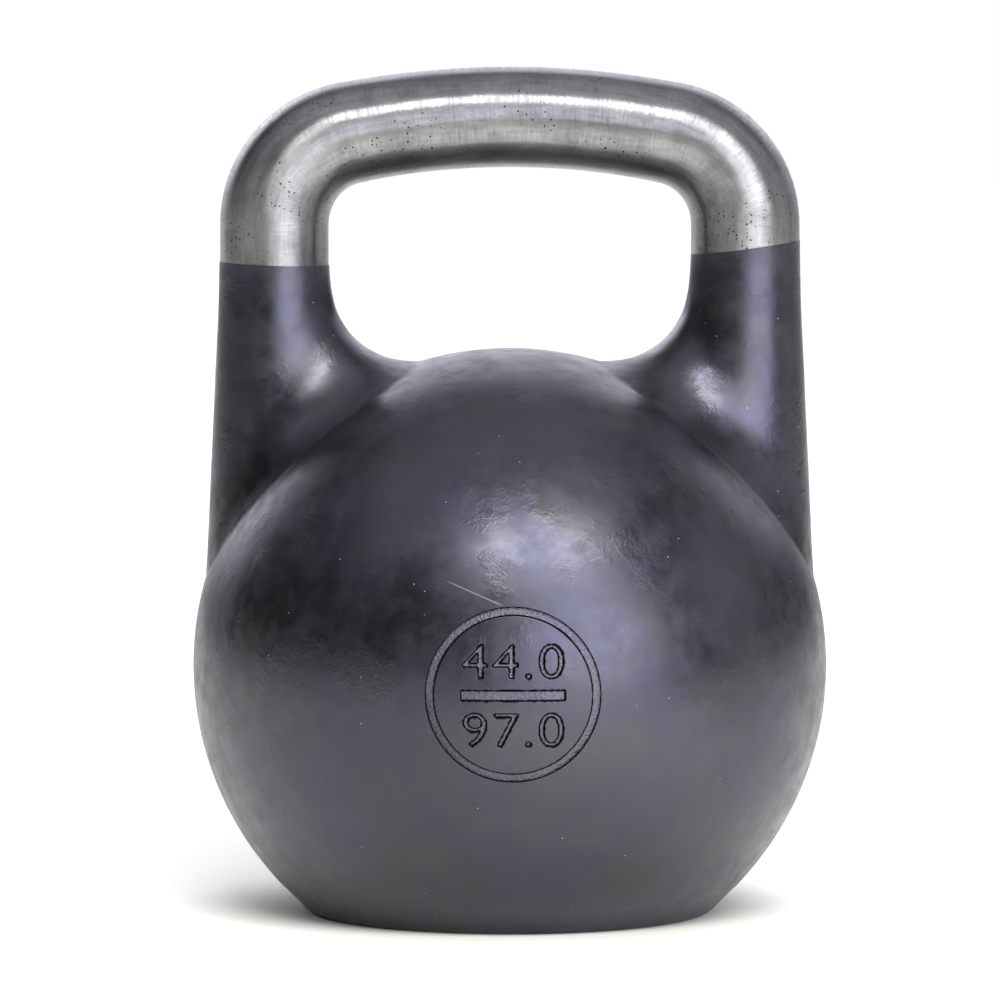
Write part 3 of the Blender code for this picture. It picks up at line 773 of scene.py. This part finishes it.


# the floor glows as a light of its own: painted light, darker near the foot as a painted contact shadow
# and brighter in a painted pool of light in front on the right
def makeFloor():    # matt white that glows a little away from the foot, as a lit sweep does
    bpy.ops.mesh.primitive_plane_add(size=12, location=(0, 0, 0))
    floor = nameNew("studioFloor")
    made, tree = newMaterial("paleFloor")
    spot = addNode(tree, "ShaderNodeTexCoord").outputs["Object"]
    reach = addNode(tree, "ShaderNodeVectorMath", {"operation": "LENGTH"}, {0: spot}).outputs["Value"]
    aside = addNode(tree, "ShaderNodeVectorMath", {"operation": "DISTANCE"}, {
        0: spot, 1: studio["poolAt"]}).outputs["Value"]
    # painted light: the floor's glow, faded to a painted shadow near the foot and raised in a painted pool
    # of light
    clear, pool = [
        addNode(tree, "ShaderNodeMapRange", smooth, {
            "Value": value, "From Min": near, "From Max": far, "To Min": start, "To Max": end,
        }).outputs["Result"]
        for value, (near, far), start, end in (
            (reach, studio["footShade"], 0.0, 1.0), (aside, studio["poolReach"], studio["poolGlow"], 0.0))]
    glow = addNode(tree, "ShaderNodeMath", {"operation": "ADD"}, {
        0: pool, 1: studio["floorGlow"]}).outputs[0]
    shaded = addNode(tree, "ShaderNodeMath", {"operation": "MULTIPLY"}, {0: clear, 1: glow}).outputs[0]
    surface = addNode(tree, "ShaderNodeBsdfPrincipled", inputs={
        "Base Color": paintChip(studio["floor"]), "Roughness": 0.8, "Specular IOR Level": 0.0,
        "Emission Color": (1, 1, 1, 1), "Emission Strength": shaded})
    addNode(tree, "ShaderNodeOutputMaterial", inputs={"Surface": surface.outputs["BSDF"]})
    floor.data.materials.append(made)


def makeKey():    # the one light with an edge: it draws the white line along the bar
    aim = Vector((0, 0, 0.2))
    place = aim + bearing(*studio["keyFrom"]) * studio["keyDistance"]
    turn = (aim - place).to_track_quat("-Z", "Y").to_euler()
    bpy.ops.object.light_add(type="AREA", location=place, rotation=turn)
    lamp = bpy.context.object
    lamp.name = "keyBox"
    lamp.data.shape = "RECTANGLE"
    lamp.data.size, lamp.data.size_y = studio["keySize"]
    lamp.data.energy = studio["keyPower"]


def makeSurround():
    # soft boxes and a lit sweep all round, and flat white where the camera sees the background
    world = bpy.data.worlds.new("studioSweep")
    bpy.context.scene.world = world
    world.use_nodes = True
    tree = world.node_tree
    tree.nodes.clear()
    way = addNode(tree, "ShaderNodeTexCoord").outputs["Generated"]
    total = 0.0
    for azimuth, elevation, full, faded, strength in studio["lights"].values():
        facing = addNode(tree, "ShaderNodeVectorMath", {"operation": "DOT_PRODUCT"}, {
            0: way, 1: bearing(azimuth, elevation)}).outputs["Value"]
        glow = addNode(tree, "ShaderNodeMapRange", smooth, {
            "Value": facing, "From Min": math.cos(math.radians(faded)),
            "From Max": math.cos(math.radians(full)), "To Min": 0.0, "To Max": strength,
        }).outputs["Result"]
        total = addNode(tree, "ShaderNodeMath", {"operation": "ADD"}, {0: glow, 1: total}).outputs[0]
    room = addNode(tree, "ShaderNodeBackground", inputs={
        "Color": paintChip(studio["air"]), "Strength": total})
    sweep = addNode(tree, "ShaderNodeBackground", inputs={"Color": (1, 1, 1, 1), "Strength": 1.0})
    ray = addNode(tree, "ShaderNodeLightPath").outputs["Is Camera Ray"]
    mixed = addNode(tree, "ShaderNodeMixShader", inputs={
        0: ray, 1: room.outputs["Background"], 2: sweep.outputs["Background"]})
    addNode(tree, "ShaderNodeOutputWorld", inputs={"Surface": mixed.outputs["Shader"]})


def makeCamera():
    bpy.ops.object.camera_add(
        location=(studio["cameraSide"], -studio["cameraDistance"], studio["cameraHeight"]),
        rotation=(math.radians(90 + studio["cameraTilt"]), 0, 0))
    camera = bpy.context.object
    camera.name = "studioCamera"
    camera.data.lens = studio["lens"]
    camera.data.sensor_width = 36
    camera.data.clip_end = 50
    bpy.context.scene.camera = camera


makeFloor()
makeKey()
makeSurround()
makeCamera()
bpy.context.scene.view_settings.view_transform = "Standard"
print("stage: studio")
